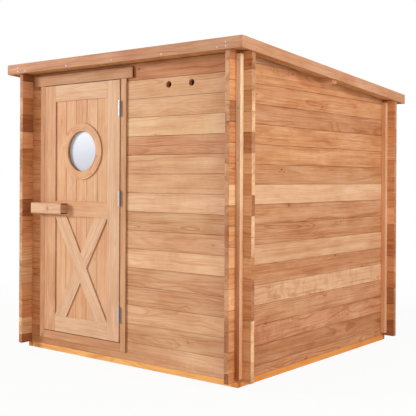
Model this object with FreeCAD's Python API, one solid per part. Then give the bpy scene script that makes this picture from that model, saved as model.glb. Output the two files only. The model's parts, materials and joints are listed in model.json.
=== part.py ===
import FreeCAD, Part
import math
import os

# Outdoor sauna cabin of stacked, cross-lapped timber courses under a single-pitch roof.
# Millimetres, +Z up. The front, with the door, faces -Y and the low side of the roof faces +Y.
# The origin is on the ground, under the middle of the roof's plan.

# Walls
wall_width = 1980.0            # over the outer faces of the two side walls
wall_depth = 1980.0            # over the outer faces of the front and back walls
log_thickness = 35.0
course_height = 127.0
log_overrun = 97.0             # how far every course runs on past the wall it crosses
notch_share = 0.25             # depth of a corner notch, as a share of a course's height
joint_chamfer = 3.0            # bevel along a course's outer edges
least_tab = 15.0               # least timber left above a notch under the roof

# Base frame and floor
base_height = 38.0
base_beam_width = 48.0
joist_width = 58.0
joist_count = 3
floor_thickness = 20.0
floor_edge_gap = 3.0

# Roof
roof_side_overhang = 115.0
roof_front_overhang = 127.0
roof_back_overhang = 115.0
roof_slope_deg = 4.4
soffit_front_height = 2062.0   # underside of the roof boards at the front wall's outer face
roof_board_thickness = 20.0
roof_core_thickness = 36.0
roof_felt_thickness = 2.5
fascia_thickness = 18.0
fascia_height = 72.0
fascia_drop = 12.0             # how far a fascia hangs below the roof boards
purlin_width = 60.0
purlin_depth = 36.0

# Corner battens
batten_size = 35.0
batten_end_gap = 24.0

# Doorway and door frame
leaf_from_corner = 197.0       # the leaf's free edge, from the left side wall's outer face
leaf_width = 778.0
leaf_above_base = 115.0        # the leaf's bottom, above the base frame
leaf_below_soffit = 104.0      # the leaf's top, below the soffit at the front wall
leaf_thickness = 30.0
leaf_proud = 17.0              # leaf's outer face in front of the wall
leaf_side_gap = 6.0
leaf_end_gap = 5.0
stop_gap = 5.0                 # between the leaf's inner face and the stop behind it
stop_lap = 12.0
jamb_thickness = 40.0
casing_width = 50.0
casing_proud = 12.0
head_lining = 27.0
head_casing_height = 75.0
head_horn = 113.0              # how far the head casing runs on past each side of the doorway
head_proud = 16.0
threshold_lining = 28.0
threshold_casing_height = 58.0

# Door leaf
stile_width = 118.0
end_rail_height = 118.0
mid_rail_height = 112.0
upper_panel_height = 729.0     # between the middle and top rails, where the porthole sits
panel_recess = 9.0
panel_thickness = 15.0
panel_tongue = 10.0
panel_board_count = 5
panel_groove = 4.0
brace_run = 121.0              # width of a brace measured level

# Porthole
porthole_drop = 4.5            # its centre, below the middle of the upper panel
porthole_aside = 6.0           # its centre, from the leaf's middle towards the hinges
ring_outer_radius = 203.0
porthole_radius = 144.5        # of the hole through the rings and the panel
ring_thickness = 9.0
glass_radius = 152.0
glass_thickness = 8.0
inner_ring_thickness = 14.0
inner_ring_radius = 190.0
glass_gap = 0.5                # round the glass, in its seat

# Pull block on the door
pull_length = 338.0
pull_height = 80.0
pull_depth = 60.0
pull_reach = 91.0              # how far it runs on past the leaf's free edge
pull_above_rail = 17.0         # its underside, above the middle rail's lower edge
pull_edge_round = 5.0

# Hinges
low_hinge_rise = 189.0         # the lowest hinge's middle, above the leaf's bottom
mid_hinge_rise = 31.0          # the middle hinge's middle, above the middle rail
top_hinge_drop = 198.0         # the top hinge's middle, below the leaf's top
hinge_length = 107.0
knuckle_radius = 6.5
pin_radius = 3.0
pin_clearance = 0.2
plate_thickness = 2.0
plate_depth = 26.0
knuckle_share = 0.36           # of the hinge's length, for each of the two outer knuckles
knuckle_gap = 1.0

# Vent holes in the highest front course beside the door
vent_radius = 22.0
vent_above_joint = 80.0        # centres above that course's lower edge
vent_from_corner = (574.0, 379.0)

left_face = -wall_width / 2
right_face = wall_width / 2
front_face = roof_front_overhang - (wall_depth + roof_front_overhang + roof_back_overhang) / 2
back_face = front_face + wall_depth
room_left = left_face + log_thickness
room_right = right_face - log_thickness
room_front = front_face + log_thickness
room_back = back_face - log_thickness
roof_left = left_face - roof_side_overhang
roof_right = right_face + roof_side_overhang
roof_front = front_face - roof_front_overhang
roof_back = back_face + roof_back_overhang
roof_pitch = math.tan(math.radians(roof_slope_deg))
notch_depth = notch_share * course_height
leaf_left = left_face + leaf_from_corner
leaf_right = leaf_left + leaf_width
leaf_bottom = base_height + leaf_above_base
leaf_top = soffit_front_height - leaf_below_soffit
leaf_face = front_face - leaf_proud
door_left = leaf_left - leaf_side_gap
door_right = leaf_right + leaf_side_gap
door_top = leaf_top + leaf_end_gap
door_bottom = leaf_bottom - leaf_end_gap
frame_left = door_left - jamb_thickness
frame_right = door_right + jamb_thickness
frame_top = door_top + head_lining
frame_bottom = door_bottom - threshold_lining
casing_bottom = door_bottom - threshold_casing_height
stop_face = leaf_face + leaf_thickness + stop_gap
into_room = (0, 1, 0)          # through the front wall and the door leaf


def soffit(y):
    """Height of the roof boards' underside at depth y."""
    return soffit_front_height - roof_pitch * (y - front_face)


def box(x0, x1, y0, y1, z0, z1):
    return Part.makeBox(x1 - x0, y1 - y0, z1 - z0, FreeCAD.Vector(x0, y0, z0))


def prism(points, direction):
    """A flat polygon pushed along a direction."""
    corners = [FreeCAD.Vector(*point) for point in points]
    return Part.Face(Part.makePolygon(corners + corners[:1])).extrude(FreeCAD.Vector(*direction))


def tube(x, y, z, axis, length, outer, inner=0.0):
    """A round bar or ring along an axis, from the point (x, y, z)."""
    start = FreeCAD.Vector(x, y, z)
    way = FreeCAD.Vector(*axis)
    bar = Part.makeCylinder(outer, length, start, way)
    if inner > 0.0:
        bar = bar.cut(Part.makeCylinder(inner, length, start, way))
    return bar


def roof_prism(x0, x1, y0, y1, low, high):
    """A plumb-sided slab that follows the roof, between two heights above the soffit."""
    points = [
        (x0, y0, soffit(y0) + low),
        (x0, y1, soffit(y1) + low),
        (x0, y1, soffit(y1) + high),
        (x0, y0, soffit(y0) + high),
    ]
    return prism(points, (x1 - x0, 0, 0))


def save(name, solids):
    """One STEP file a node; its solids don't touch one another."""
    found = [solid for shape in solids for solid in shape.Solids]
    Part.makeCompound(found).exportStep(os.path.join("parts", name + ".step"))
    volume = sum(solid.Volume for solid in found) / 1e9
    print(f"{name}: {len(found)} solids, {volume:.4f} m3")


def log_section(outer, inner, bottom, top):
    """Corners (across, up) of a course: a board with its two outer long edges bevelled."""
    turn = joint_chamfer if inner > outer else -joint_chamfer
    return [
        (outer + turn, bottom),
        (inner, bottom),
        (inner, top),
        (outer + turn, top),
        (outer, top - joint_chamfer),
        (outer, bottom + joint_chamfer),
    ]


def cross_courses(soffit_height):
    """Bottom and top of each course of a wall that runs left to right under a soffit.

    Where the soffit leaves too low a strip for a notch, the last course takes it in.
    """
    found = []
    bottom = base_height
    while bottom + notch_depth + least_tab < soffit_height:
        found.append((bottom, bottom + course_height))
        bottom += course_height
    if bottom < soffit_height:
        found[-1] = (bottom - course_height, bottom + course_height)
    return found


def side_log(outer, inner, bottom, top):
    """A course that runs front to back, trimmed under the roof and notched at both corners."""
    start = front_face - log_overrun
    length = wall_depth + 2 * log_overrun
    points = [(across, start, up) for across, up in log_section(outer, inner, bottom, top)]
    log = prism(points, (0, length, 0)).common(under_roof)
    x0 = min(outer, inner)
    x1 = max(outer, inner)
    for y0, y1 in ((front_face, room_front), (room_back, back_face)):
        if soffit(y1) - bottom - notch_depth > least_tab and bottom > base_height:
            log = log.cut(box(x0, x1, y0, y1, bottom, bottom + notch_depth))
        log = log.cut(box(x0, x1, y0, y1, top - notch_depth, top))
    return log.cut(purlin)


def cross_log(outer, inner, bottom, top, x0, x1):
    """A course that runs left to right, trimmed under the roof and cut over the side courses."""
    points = [(x0, across, up) for across, up in log_section(outer, inner, bottom, top)]
    log = prism(points, (x1 - x0, 0, 0)).common(under_roof)
    for crossing in side_left + side_right:
        if crossing.BoundBox.intersect(log.BoundBox):
            log = log.cut(crossing)
    return log


os.makedirs("parts", exist_ok=True)

# Shapes that others are cut against
reach = log_overrun + roof_front_overhang
roof_height = soffit(front_face - reach)
under_roof = prism(
    [
        (left_face - reach, front_face - reach, 0),
        (left_face - reach, back_face + reach, 0),
        (left_face - reach, back_face + reach, soffit(back_face + reach)),
        (left_face - reach, front_face - reach, roof_height),
    ],
    (wall_width + 2 * reach, 0, 0),
)
purlin_middle = (front_face + back_face) / 2
purlin = roof_prism(
    left_face - log_overrun,
    right_face + log_overrun,
    purlin_middle - purlin_width / 2,
    purlin_middle + purlin_width / 2,
    -purlin_depth,
    0.0,
)
frame_space = box(frame_left, frame_right, front_face, room_front, frame_bottom, frame_top)

# Base frame: the side beams run the full depth and the cross beams fit between them
beam_left = left_face + base_beam_width
beam_right = right_face - base_beam_width
beam_front = front_face + base_beam_width
beam_back = back_face - base_beam_width
save(
    "base_side_beams",
    [
        box(left_face, beam_left, front_face, back_face, 0, base_height),
        box(beam_right, right_face, front_face, back_face, 0, base_height),
    ],
)
save(
    "base_cross_beams",
    [
        box(beam_left, beam_right, front_face, beam_front, 0, base_height),
        box(beam_left, beam_right, beam_back, back_face, 0, base_height),
    ],
)
joist_step = (beam_right - beam_left) / (joist_count + 1)
joists = []
for number in range(1, joist_count + 1):
    middle = beam_left + number * joist_step
    joists.append(
        box(middle - joist_width / 2, middle + joist_width / 2, beam_front, beam_back, 0, base_height)
    )
save("floor_joists", joists)
floor_top = base_height + floor_thickness
save(
    "floor_boards",
    [
        box(
            room_left + floor_edge_gap,
            room_right - floor_edge_gap,
            room_front + floor_edge_gap,
            room_back - floor_edge_gap,
            base_height,
            floor_top,
        )
    ],
)

# Side walls: half a course up from the front and back walls, so that they lock at the corners
side_courses = [(base_height, base_height + course_height / 2)]
while side_courses[-1][1] < soffit(front_face - log_overrun):
    side_courses.append((side_courses[-1][1], side_courses[-1][1] + course_height))
side_left = [side_log(left_face, room_left, low, high) for low, high in side_courses]
side_right = [side_log(right_face, room_right, low, high) for low, high in side_courses]
for name, logs in (("left_wall", side_left), ("right_wall", side_right)):
    save(name + "_even_logs", logs[0::2])
    save(name + "_odd_logs", logs[1::2])

# Front and back walls
wall_left_end = left_face - log_overrun
wall_right_end = right_face + log_overrun
front_whole = {}
front_left = {}
front_right = {}
for number, (low, high) in enumerate(cross_courses(soffit(front_face))):
    log = cross_log(front_face, room_front, low, high, wall_left_end, wall_right_end)
    if low >= frame_bottom and high <= frame_top:
        beside_left = box(wall_left_end, frame_left, front_face, room_front, low, high)
        beside_right = box(frame_right, wall_right_end, front_face, room_front, low, high)
        front_left[number] = log.common(beside_left)
        front_right[number] = log.common(beside_right)
    else:
        front_whole[number] = log.cut(frame_space)
vent_course = max(front_right)
vent_height = base_height + vent_course * course_height + vent_above_joint
vent_log = front_right.pop(vent_course)
for distance in vent_from_corner:
    vent = tube(right_face - distance, front_face, vent_height, into_room, log_thickness, vent_radius)
    vent_log = vent_log.cut(vent)
save("front_wall_bottom_log", [front_whole[min(front_whole)]])
save("front_wall_top_log", [front_whole[max(front_whole)]])
save("front_wall_vent_log", [vent_log])
for remainder, name in ((1, "even"), (0, "odd")):
    beside = [log for key, log in front_left.items() if key % 2 == remainder]
    save(f"front_wall_left_{name}_logs", beside)
    beside = [log for key, log in front_right.items() if key % 2 == remainder]
    save(f"front_wall_right_{name}_logs", beside)

back_logs = [
    cross_log(back_face, room_back, low, high, wall_left_end, wall_right_end)
    for low, high in cross_courses(soffit(back_face))
]
save("back_wall_odd_logs", back_logs[0::2])
save("back_wall_even_logs", back_logs[1::2])

# Battens screwed to the side walls, close in front of the front and back walls
battens = []
batten_foot = base_height + batten_end_gap
for x0 in (left_face - batten_size, right_face):
    for y1 in (front_face, room_back):
        y0 = y1 - batten_size
        points = [
            (x0, y0, batten_foot),
            (x0, y1, batten_foot),
            (x0, y1, soffit(y1) - batten_end_gap),
            (x0, y0, soffit(y0) - batten_end_gap),
        ]
        battens.append(prism(points, (batten_size, 0, 0)))
save("corner_battens", battens)

# Roof
save("roof_purlin", [purlin])
deck_left = roof_left + fascia_thickness
deck_right = roof_right - fascia_thickness
deck_front = roof_front + fascia_thickness
deck_back = roof_back - fascia_thickness
layer_bottom = 0.0
for name, thickness in (
    ("roof_boards", roof_board_thickness),
    ("roof_core", roof_core_thickness),
    ("roof_felt", roof_felt_thickness),
):
    layer_top = layer_bottom + thickness
    save(name, [roof_prism(deck_left, deck_right, deck_front, deck_back, layer_bottom, layer_top)])
    layer_bottom = layer_top
fascia_top = fascia_height - fascia_drop
save(
    "front_fascia",
    [roof_prism(deck_left, deck_right, roof_front, deck_front, -fascia_drop, fascia_top)],
)
save(
    "back_fascia",
    [roof_prism(roof_left, roof_right, deck_back, roof_back, -fascia_drop, fascia_top)],
)
save(
    "side_fascias",
    [
        roof_prism(roof_left, deck_left, roof_front, deck_back, -fascia_drop, fascia_top),
        roof_prism(deck_right, roof_right, roof_front, deck_back, -fascia_drop, fascia_top),
    ],
)

# Door frame: linings in the wall, casings over its face and stops behind the leaf
casing_face = front_face - casing_proud


def jamb(inner, side):
    """Jamb whose inner face is at x = inner, with its timber towards side (+1 right, -1 left)."""
    points = [
        (inner, casing_face),
        (inner + side * casing_width, casing_face),
        (inner + side * casing_width, front_face),
        (inner + side * jamb_thickness, front_face),
        (inner + side * jamb_thickness, room_front),
        (inner - side * stop_lap, room_front),
        (inner - side * stop_lap, stop_face),
        (inner, stop_face),
    ]
    post = prism([(x, y, casing_bottom) for x, y in points], (0, 0, door_top - casing_bottom))
    under_casing = box(
        min(inner - side * stop_lap, inner + side * jamb_thickness),
        max(inner - side * stop_lap, inner + side * jamb_thickness),
        front_face,
        room_front,
        casing_bottom,
        frame_bottom,
    )
    return post.cut(under_casing)


save("door_jambs", [jamb(door_left, -1), jamb(door_right, 1)])
head = box(
    door_left - head_horn,
    door_right + head_horn,
    front_face - head_proud,
    front_face,
    door_top,
    door_top + head_casing_height,
)
head = head.fuse(box(frame_left, frame_right, front_face, room_front, door_top, frame_top))
head = head.fuse(
    box(door_left + stop_lap, door_right - stop_lap, stop_face, room_front, door_top - stop_lap, door_top)
)
save("door_head", [head.removeSplitter()])
threshold = box(door_left, door_right, casing_face, front_face, casing_bottom, door_bottom)
threshold = threshold.fuse(
    box(door_left, door_right, front_face, room_front, frame_bottom, door_bottom)
)
threshold = threshold.cut(
    box(door_left, door_left + stop_lap, stop_face, room_front, frame_bottom, door_bottom)
)
threshold = threshold.cut(
    box(door_right - stop_lap, door_right, stop_face, room_front, frame_bottom, door_bottom)
)
save("door_threshold", [threshold.removeSplitter()])

# Door leaf: framed, with boarded panels let into the stiles and rails
leaf_back = leaf_face + leaf_thickness
panel_left = leaf_left + stile_width
panel_right = leaf_right - stile_width
panel_face = leaf_face + panel_recess
panel_back = panel_face + panel_thickness
bottom_rail_top = leaf_bottom + end_rail_height
top_rail_bottom = leaf_top - end_rail_height
mid_rail_top = top_rail_bottom - upper_panel_height
mid_rail_bottom = mid_rail_top - mid_rail_height


def panel(bottom, top):
    """A boarded panel as one slab, tongued into the frame all round."""
    return box(
        panel_left - panel_tongue,
        panel_right + panel_tongue,
        panel_face,
        panel_back,
        bottom - panel_tongue,
        top + panel_tongue,
    )


def board_joints(bottom, top):
    """V-shaped cutters between the boards of a panel."""
    cutters = []
    step = (panel_right - panel_left) / panel_board_count
    for joint in range(1, panel_board_count):
        x = panel_left + joint * step
        points = [
            (x - panel_groove, panel_face, bottom),
            (x + panel_groove, panel_face, bottom),
            (x, panel_face + panel_groove, bottom),
        ]
        cutters.append(prism(points, (0, 0, top - bottom)))
    return cutters


lower_panel = panel(bottom_rail_top, mid_rail_bottom)
upper_panel = panel(mid_rail_top, top_rail_bottom)
stiles = [
    box(leaf_left, panel_left, leaf_face, leaf_back, leaf_bottom, leaf_top),
    box(panel_right, leaf_right, leaf_face, leaf_back, leaf_bottom, leaf_top),
]
rails = [
    box(panel_left, panel_right, leaf_face, leaf_back, leaf_bottom, bottom_rail_top),
    box(panel_left, panel_right, leaf_face, leaf_back, mid_rail_bottom, mid_rail_top),
    box(panel_left, panel_right, leaf_face, leaf_back, top_rail_bottom, leaf_top),
]
save("door_stiles", [stile.cut(lower_panel).cut(upper_panel) for stile in stiles])
save("door_rails", [rail.cut(lower_panel).cut(upper_panel) for rail in rails])
porthole_x = (leaf_left + leaf_right) / 2 + porthole_aside
porthole_height = (mid_rail_top + top_rail_bottom) / 2 - porthole_drop
for joint in board_joints(bottom_rail_top, mid_rail_bottom):
    lower_panel = lower_panel.cut(joint)
for joint in board_joints(mid_rail_top, top_rail_bottom):
    upper_panel = upper_panel.cut(joint)
hole = tube(porthole_x, panel_face, porthole_height, into_room, panel_thickness, porthole_radius)
save("door_panels", [lower_panel, upper_panel.cut(hole)])


def brace(top_x, bottom_x):
    """A flat board between two rails; top_x and bottom_x are its left corners."""
    points = [
        (top_x, leaf_face, mid_rail_bottom),
        (top_x + brace_run, leaf_face, mid_rail_bottom),
        (bottom_x + brace_run, leaf_face, bottom_rail_top),
        (bottom_x, leaf_face, bottom_rail_top),
    ]
    return prism(points, (0, panel_recess, 0))


long_brace = brace(panel_left, panel_right - brace_run)
short_brace = brace(panel_right - brace_run, panel_left).cut(long_brace)
save("door_long_brace", [long_brace])
save("door_short_braces", [short_brace])

# Porthole: a wooden ring outside, and the glass behind the panel in the seat of a ring inside
save(
    "porthole_outer_ring",
    [
        tube(
            porthole_x,
            panel_face - ring_thickness,
            porthole_height,
            into_room,
            ring_thickness,
            ring_outer_radius,
            porthole_radius,
        )
    ],
)
save(
    "porthole_glass",
    [tube(porthole_x, panel_back, porthole_height, into_room, glass_thickness, glass_radius)],
)
inner_ring = tube(
    porthole_x,
    panel_back,
    porthole_height,
    into_room,
    inner_ring_thickness,
    inner_ring_radius,
    porthole_radius,
)
glass_seat = tube(
    porthole_x, panel_back, porthole_height, into_room, glass_thickness, glass_radius + glass_gap
)
save("porthole_inner_ring", [inner_ring.cut(glass_seat)])

# Pull block, which also rests over the jamb when the door is shut
pull_left = leaf_left - pull_reach
pull_bottom = mid_rail_bottom + pull_above_rail
pull = box(
    pull_left,
    pull_left + pull_length,
    leaf_face - pull_depth,
    leaf_face,
    pull_bottom,
    pull_bottom + pull_height,
)
outer_edges = [edge for edge in pull.Edges if edge.BoundBox.YMax < leaf_face - pull_depth / 2]
save("door_pull", [pull.makeFillet(pull_edge_round, outer_edges)])

# Butt hinges between the leaf's edge and the jamb
hinge_x = (leaf_right + door_right) / 2
hinge_y = leaf_face - knuckle_radius
upright = (0, 0, 1)
outer_knuckle = hinge_length * knuckle_share
middle_knuckle = hinge_length - 2 * outer_knuckle - 2 * knuckle_gap
frame_halves = []
leaf_halves = []
hinge_middles = (leaf_bottom + low_hinge_rise, mid_rail_top + mid_hinge_rise, leaf_top - top_hinge_drop)
for middle in hinge_middles:
    foot = middle - hinge_length / 2
    frame_half = box(
        door_right - plate_thickness,
        door_right,
        hinge_y,
        leaf_face + plate_depth,
        foot,
        foot + hinge_length,
    )
    gap_in_plate = box(
        door_right - plate_thickness,
        door_right,
        hinge_y,
        leaf_face,
        foot + outer_knuckle,
        foot + hinge_length - outer_knuckle,
    )
    frame_half = frame_half.cut(gap_in_plate)
    for z in (foot, foot + hinge_length - outer_knuckle):
        frame_half = frame_half.fuse(tube(hinge_x, hinge_y, z, upright, outer_knuckle, knuckle_radius))
    frame_half = frame_half.fuse(tube(hinge_x, hinge_y, foot, upright, hinge_length, pin_radius))
    frame_halves.append(frame_half.removeSplitter())
    leaf_half = box(
        leaf_right,
        leaf_right + plate_thickness,
        leaf_face,
        leaf_face + plate_depth,
        foot,
        foot + hinge_length,
    )
    neck = box(
        leaf_right,
        leaf_right + plate_thickness,
        hinge_y,
        leaf_face,
        foot + outer_knuckle + knuckle_gap,
        foot + outer_knuckle + knuckle_gap + middle_knuckle,
    )
    barrel = tube(
        hinge_x, hinge_y, foot + outer_knuckle + knuckle_gap, upright, middle_knuckle, knuckle_radius
    )
    pin_hole = tube(hinge_x, hinge_y, foot, upright, hinge_length, pin_radius + pin_clearance)
    leaf_halves.append(leaf_half.fuse(neck).fuse(barrel).cut(pin_hole).removeSplitter())
save("hinge_frame_halves", frame_halves)
save("hinge_leaf_halves", leaf_halves)

# The axis is printed for the joint
print(f"hinge axis x {hinge_x:.2f} y {hinge_y:.2f}")
print(f"front face y {front_face:.2f}, back face y {back_face:.2f}, stop face y {stop_face:.2f}")
print(f"leaf x {leaf_left} to {leaf_right}, z {leaf_bottom} to {leaf_top}, face y {leaf_face:.2f}")
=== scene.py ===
# %% [markdown]
# # The looks of a timber sauna cabin
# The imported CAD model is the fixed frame: it says where every board is. This file dresses it, board
# by board, with rounded edges, real joints and a wood that is worked out in the shader.
# Everything is in metres, +Z up, and the door faces -Y.

# %% Load the frame
import json
import math

import bpy
import numpy as np
from mathutils import Matrix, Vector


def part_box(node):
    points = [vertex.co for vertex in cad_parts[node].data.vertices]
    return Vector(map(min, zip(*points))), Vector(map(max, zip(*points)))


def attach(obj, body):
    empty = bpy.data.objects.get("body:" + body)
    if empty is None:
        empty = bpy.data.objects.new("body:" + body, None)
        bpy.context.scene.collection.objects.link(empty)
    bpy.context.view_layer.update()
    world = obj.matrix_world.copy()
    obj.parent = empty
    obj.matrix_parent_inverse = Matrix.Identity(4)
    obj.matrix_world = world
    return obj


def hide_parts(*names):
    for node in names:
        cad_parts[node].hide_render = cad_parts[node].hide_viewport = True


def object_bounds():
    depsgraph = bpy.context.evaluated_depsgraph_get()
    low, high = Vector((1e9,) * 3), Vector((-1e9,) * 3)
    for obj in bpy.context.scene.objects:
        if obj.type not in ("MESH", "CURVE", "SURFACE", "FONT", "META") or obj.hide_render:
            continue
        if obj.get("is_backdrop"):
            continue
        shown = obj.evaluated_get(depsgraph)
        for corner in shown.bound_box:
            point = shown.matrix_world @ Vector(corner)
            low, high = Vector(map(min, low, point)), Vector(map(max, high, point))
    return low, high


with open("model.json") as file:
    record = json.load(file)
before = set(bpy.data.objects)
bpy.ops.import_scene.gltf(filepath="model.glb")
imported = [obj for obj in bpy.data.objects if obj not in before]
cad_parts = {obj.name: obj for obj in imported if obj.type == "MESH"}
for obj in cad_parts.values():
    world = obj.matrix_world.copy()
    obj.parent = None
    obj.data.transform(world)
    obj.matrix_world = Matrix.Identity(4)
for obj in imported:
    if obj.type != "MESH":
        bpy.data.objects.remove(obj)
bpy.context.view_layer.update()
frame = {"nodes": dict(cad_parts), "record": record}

# %% [markdown]
# Each wall node holds several boards, and each board is a closed solid of its own. To dress them one
# by one, the boxes of the separate solids are read from the node: triangles that share a corner
# get the same label, and each label is one board. Blender's loose parts could do this too, but
# arrays are quicker, and they leave the node itself untouched.

# %% Read the boards out of a node
WELD = 1e-5  # corners closer than this are one corner
SAME = 1e-4  # places closer than this are the same place


def corners(node):
    """Lowest and highest corner of a whole node."""
    return np.array(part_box(node))


def node_points(node):
    """All the points of a node's mesh, one row each."""
    vertices = frame["nodes"][node].data.vertices
    points = np.empty(len(vertices) * 3)
    vertices.foreach_get("co", points)
    return points.reshape(-1, 3)


def solids(node):
    """Lowest and highest corner of each closed solid in a node, lowest solid first."""
    loops = frame["nodes"][node].data.loops
    used = np.empty(len(loops), int)
    loops.foreach_get("vertex_index", used)
    points = node_points(node)
    _, welded = np.unique(np.round(points / WELD).astype(int), axis=0, return_inverse=True)
    welded = welded.reshape(-1)
    triangles = welded[used].reshape(-1, 3)
    label = np.arange(welded.max() + 1)
    while True:
        new = label.copy()
        np.minimum.at(new, triangles.reshape(-1), np.repeat(label[triangles].min(axis=1), 3))
        if (new == label).all():
            break
        label = new
    groups = [points[label[welded] == number] for number in np.unique(label[welded])]
    boxes = [(group.min(0), group.max(0)) for group in groups]
    return sorted(boxes, key=lambda box: tuple(np.round(box[0][[2, 0, 1]], 4)))


print("boards in the right wall", sum(len(solids(f"right_wall_{k}_logs")) for k in ("even", "odd")))

# %% [markdown]
# The roof is one plane, so one line says how high its underside is at each depth. It is read from
# the lowest points of the deck at its front and back edges.

# %% The underside of the roof
deck_low, deck_high = corners("roof_boards")
deck_points = node_points("roof_boards")
soffit_front, soffit_back = (deck_points[np.abs(deck_points[:, 1] - y) < SAME, 2].min()
                             for y in (deck_low[1], deck_high[1]))
roof_fall = (soffit_front - soffit_back) / (deck_high[1] - deck_low[1])


def soffit(y):
    """Height of the roof's underside at depth y: a straight line falling to the back."""
    return soffit_front - roof_fall * (y - deck_low[1])


print(f"the roof falls {math.degrees(math.atan(roof_fall)):.2f} degrees to the back")

# %% [markdown]
# Every board is a slab: a grid of points over its front face and a like grid over its back face,
# joined round the rim. With two grids a board can be notched, mitred, cut to a slope or to an arc,
# and it stays closed.

# %% A slab from two grids
HOLE_EASE = 0.0012  # bevel round both ends of a drilled hole


def quads(a, b, c, d):
    """Four arrays of point numbers, joined into rows of four."""
    return np.stack([a, b, c, d], axis=-1).reshape(-1, 4)


def slab(front, back, holes=()):
    """Closed board between two grids of points, each (stations, rows, 3).

    Quads cover the front grid, the back grid the other way round, and the four sides of the rim.
    Each hole (first station, first row, cells, centre along, centre up, radius) takes out a square
    block of quads and puts in a ring of quads that runs from the block's edge to a circle, plus
    the tube between the two circles.
    """
    stations, rows = front.shape[:2]
    f = np.arange(stations * rows).reshape(stations, rows)
    g = f + stations * rows
    points = np.concatenate([front.reshape(-1, 3), back.reshape(-1, 3)])
    keep = np.ones((stations - 1, rows - 1), bool)
    tubes = []
    for s0, r0, cells, along, up, radius in holes:
        keep[s0:s0 + cells, r0:r0 + cells] = False
        step = np.arange(cells)
        walk = np.concatenate([step, np.full(cells, cells), cells - step, 0 * step])
        block = s0 + walk, r0 + np.roll(walk, cells)
        start = front[block]
        turn = np.arctan2(start[:, 2] - up, start[:, 0] - along)
        near, far = front[s0, r0, 1], back[s0, r0, 1]
        loops = [f[block]]
        for depth, reach in ((near, radius + HOLE_EASE), (near + HOLE_EASE, radius),
                             (far - HOLE_EASE, radius), (far, radius + HOLE_EASE)):
            loops.append(np.arange(len(turn)) + len(points))
            points = np.concatenate([points, np.stack([
                along + reach * np.cos(turn), np.full(len(turn), depth), up + reach * np.sin(turn)], 1)])
        loops.append(g[block])
        tubes += [quads(a, np.roll(a, -1), np.roll(b, -1), b) for a, b in zip(loops[:-1], loops[1:])]
    return points, np.concatenate([
        quads(f[:-1, :-1], f[1:, :-1], f[1:, 1:], f[:-1, 1:])[keep.reshape(-1)],
        quads(g[:-1, :-1], g[:-1, 1:], g[1:, 1:], g[1:, :-1])[keep.reshape(-1)],
        quads(f[0, :-1], f[0, 1:], g[0, 1:], g[0, :-1]),
        quads(f[-1, :-1], g[-1, :-1], g[-1, 1:], f[-1, 1:]),
        quads(f[:-1, 0], g[:-1, 0], g[1:, 0], f[1:, 0]),
        quads(f[:-1, -1], f[1:, -1], g[1:, -1], g[:-1, -1]),
        *tubes])


print("a slab of 3 by 4 points has", len(slab(np.zeros((3, 4, 3)), np.ones((3, 4, 3)))[1]), "quads")

# %% [markdown]
# A mesh is filled with `foreach_set`, whole arrays at once, which is much quicker than adding
# points one at a time. A finished piece is linked to the scene, rides on a body of the machine, and
# says which nodes of the CAD it stands in for.

# %% Meshes and objects
def new_mesh(name, points, *groups):
    """Flat-shaded mesh; each group is an array of faces, one row of point numbers a face."""
    mesh = bpy.data.meshes.new(name)
    mesh.vertices.add(len(points))
    mesh.vertices.foreach_set("co", points.reshape(-1))
    sizes = np.concatenate([np.full(len(group), group.shape[1]) for group in groups])
    mesh.loops.add(int(sizes.sum()))
    mesh.loops.foreach_set("vertex_index", np.concatenate([group.reshape(-1) for group in groups]))
    mesh.polygons.add(len(sizes))
    mesh.polygons.foreach_set("loop_start", np.cumsum(sizes) - sizes)
    mesh.polygons.foreach_set("loop_total", sizes)
    mesh.polygons.foreach_set("use_smooth", np.zeros(len(sizes), bool))
    mesh.update(calc_edges=True)
    return mesh


def placed(name, data):
    """A new object in the scene, at the origin."""
    made = bpy.data.objects.new(name, data)
    bpy.context.scene.collection.objects.link(made)
    return made


def finished(name, mesh, material, body, nodes=()):
    """Makes a mesh into one piece that rides on a body, in place of the nodes named."""
    mesh.materials.append(material)
    made = placed(name, mesh)
    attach(made, body)
    if nodes:
        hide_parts(*nodes)


def strips(low, high, count):
    """The ends, in pairs, of equal strips between two places."""
    edges = np.linspace(low, high, count + 1)
    return list(zip(edges[:-1], edges[1:]))


print("the deck's first strip of three:", strips(deck_low[0], deck_high[0], 3)[0])

# %% [markdown]
# A planed board has its long edges eased. Here the easing is a quarter round of two facets, made by
# where the rows of the grid lie: the outermost row sits one radius deep and the next row a third of
# it. The same rule shrinks the section towards both ends. A Bevel modifier would round the notches
# too, but it is slower and it can't tell an edge that was planed from one that was sawn.

# %% Timber boards
def quarter_round(facets):
    """Places and depths, in radii, of the points of a quarter circle: one less cosine and sine."""
    angle = np.linspace(0, np.pi / 2, facets + 1)
    return 1 - np.cos(angle), 1 - np.sin(angle)


def timber(length, thickness, bottom, top, stations=(), ease=0.0015, rows=(), holes=(), facets=2):
    """A board in its own axes: u along the grain, v through it and w across it.

    bottom and top are heights, or the places and heights of a notched or sloping edge. The ends
    are shrunk by the same quarter round that eases the long edges.
    """
    place, depth = quarter_round(facets)
    u = np.concatenate([ease * place, stations, length - ease * place[::-1]])
    shrink = np.concatenate([ease * depth, np.zeros(len(stations)), ease * depth[::-1]])[:, None]
    bottom, top = (np.interp(u, *edge) if isinstance(edge, tuple) else np.full(len(u), edge)
                   for edge in (bottom, top))
    w = np.concatenate([bottom[:, None] + shrink + ease * place, np.tile(rows, (len(u), 1)),
                        top[:, None] - shrink - ease * place[::-1]], axis=1)
    v = shrink + np.concatenate([ease * depth, np.zeros(len(rows)), ease * depth[::-1]])
    along = np.broadcast_to(u[:, None], w.shape)
    return slab(np.stack([along, v, w], axis=-1), np.stack([along, thickness - v, w], axis=-1), holes)


print("a plain board has", len(timber(1.0, 0.02, 0.0, 0.1)[1]), "quads")

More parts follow.
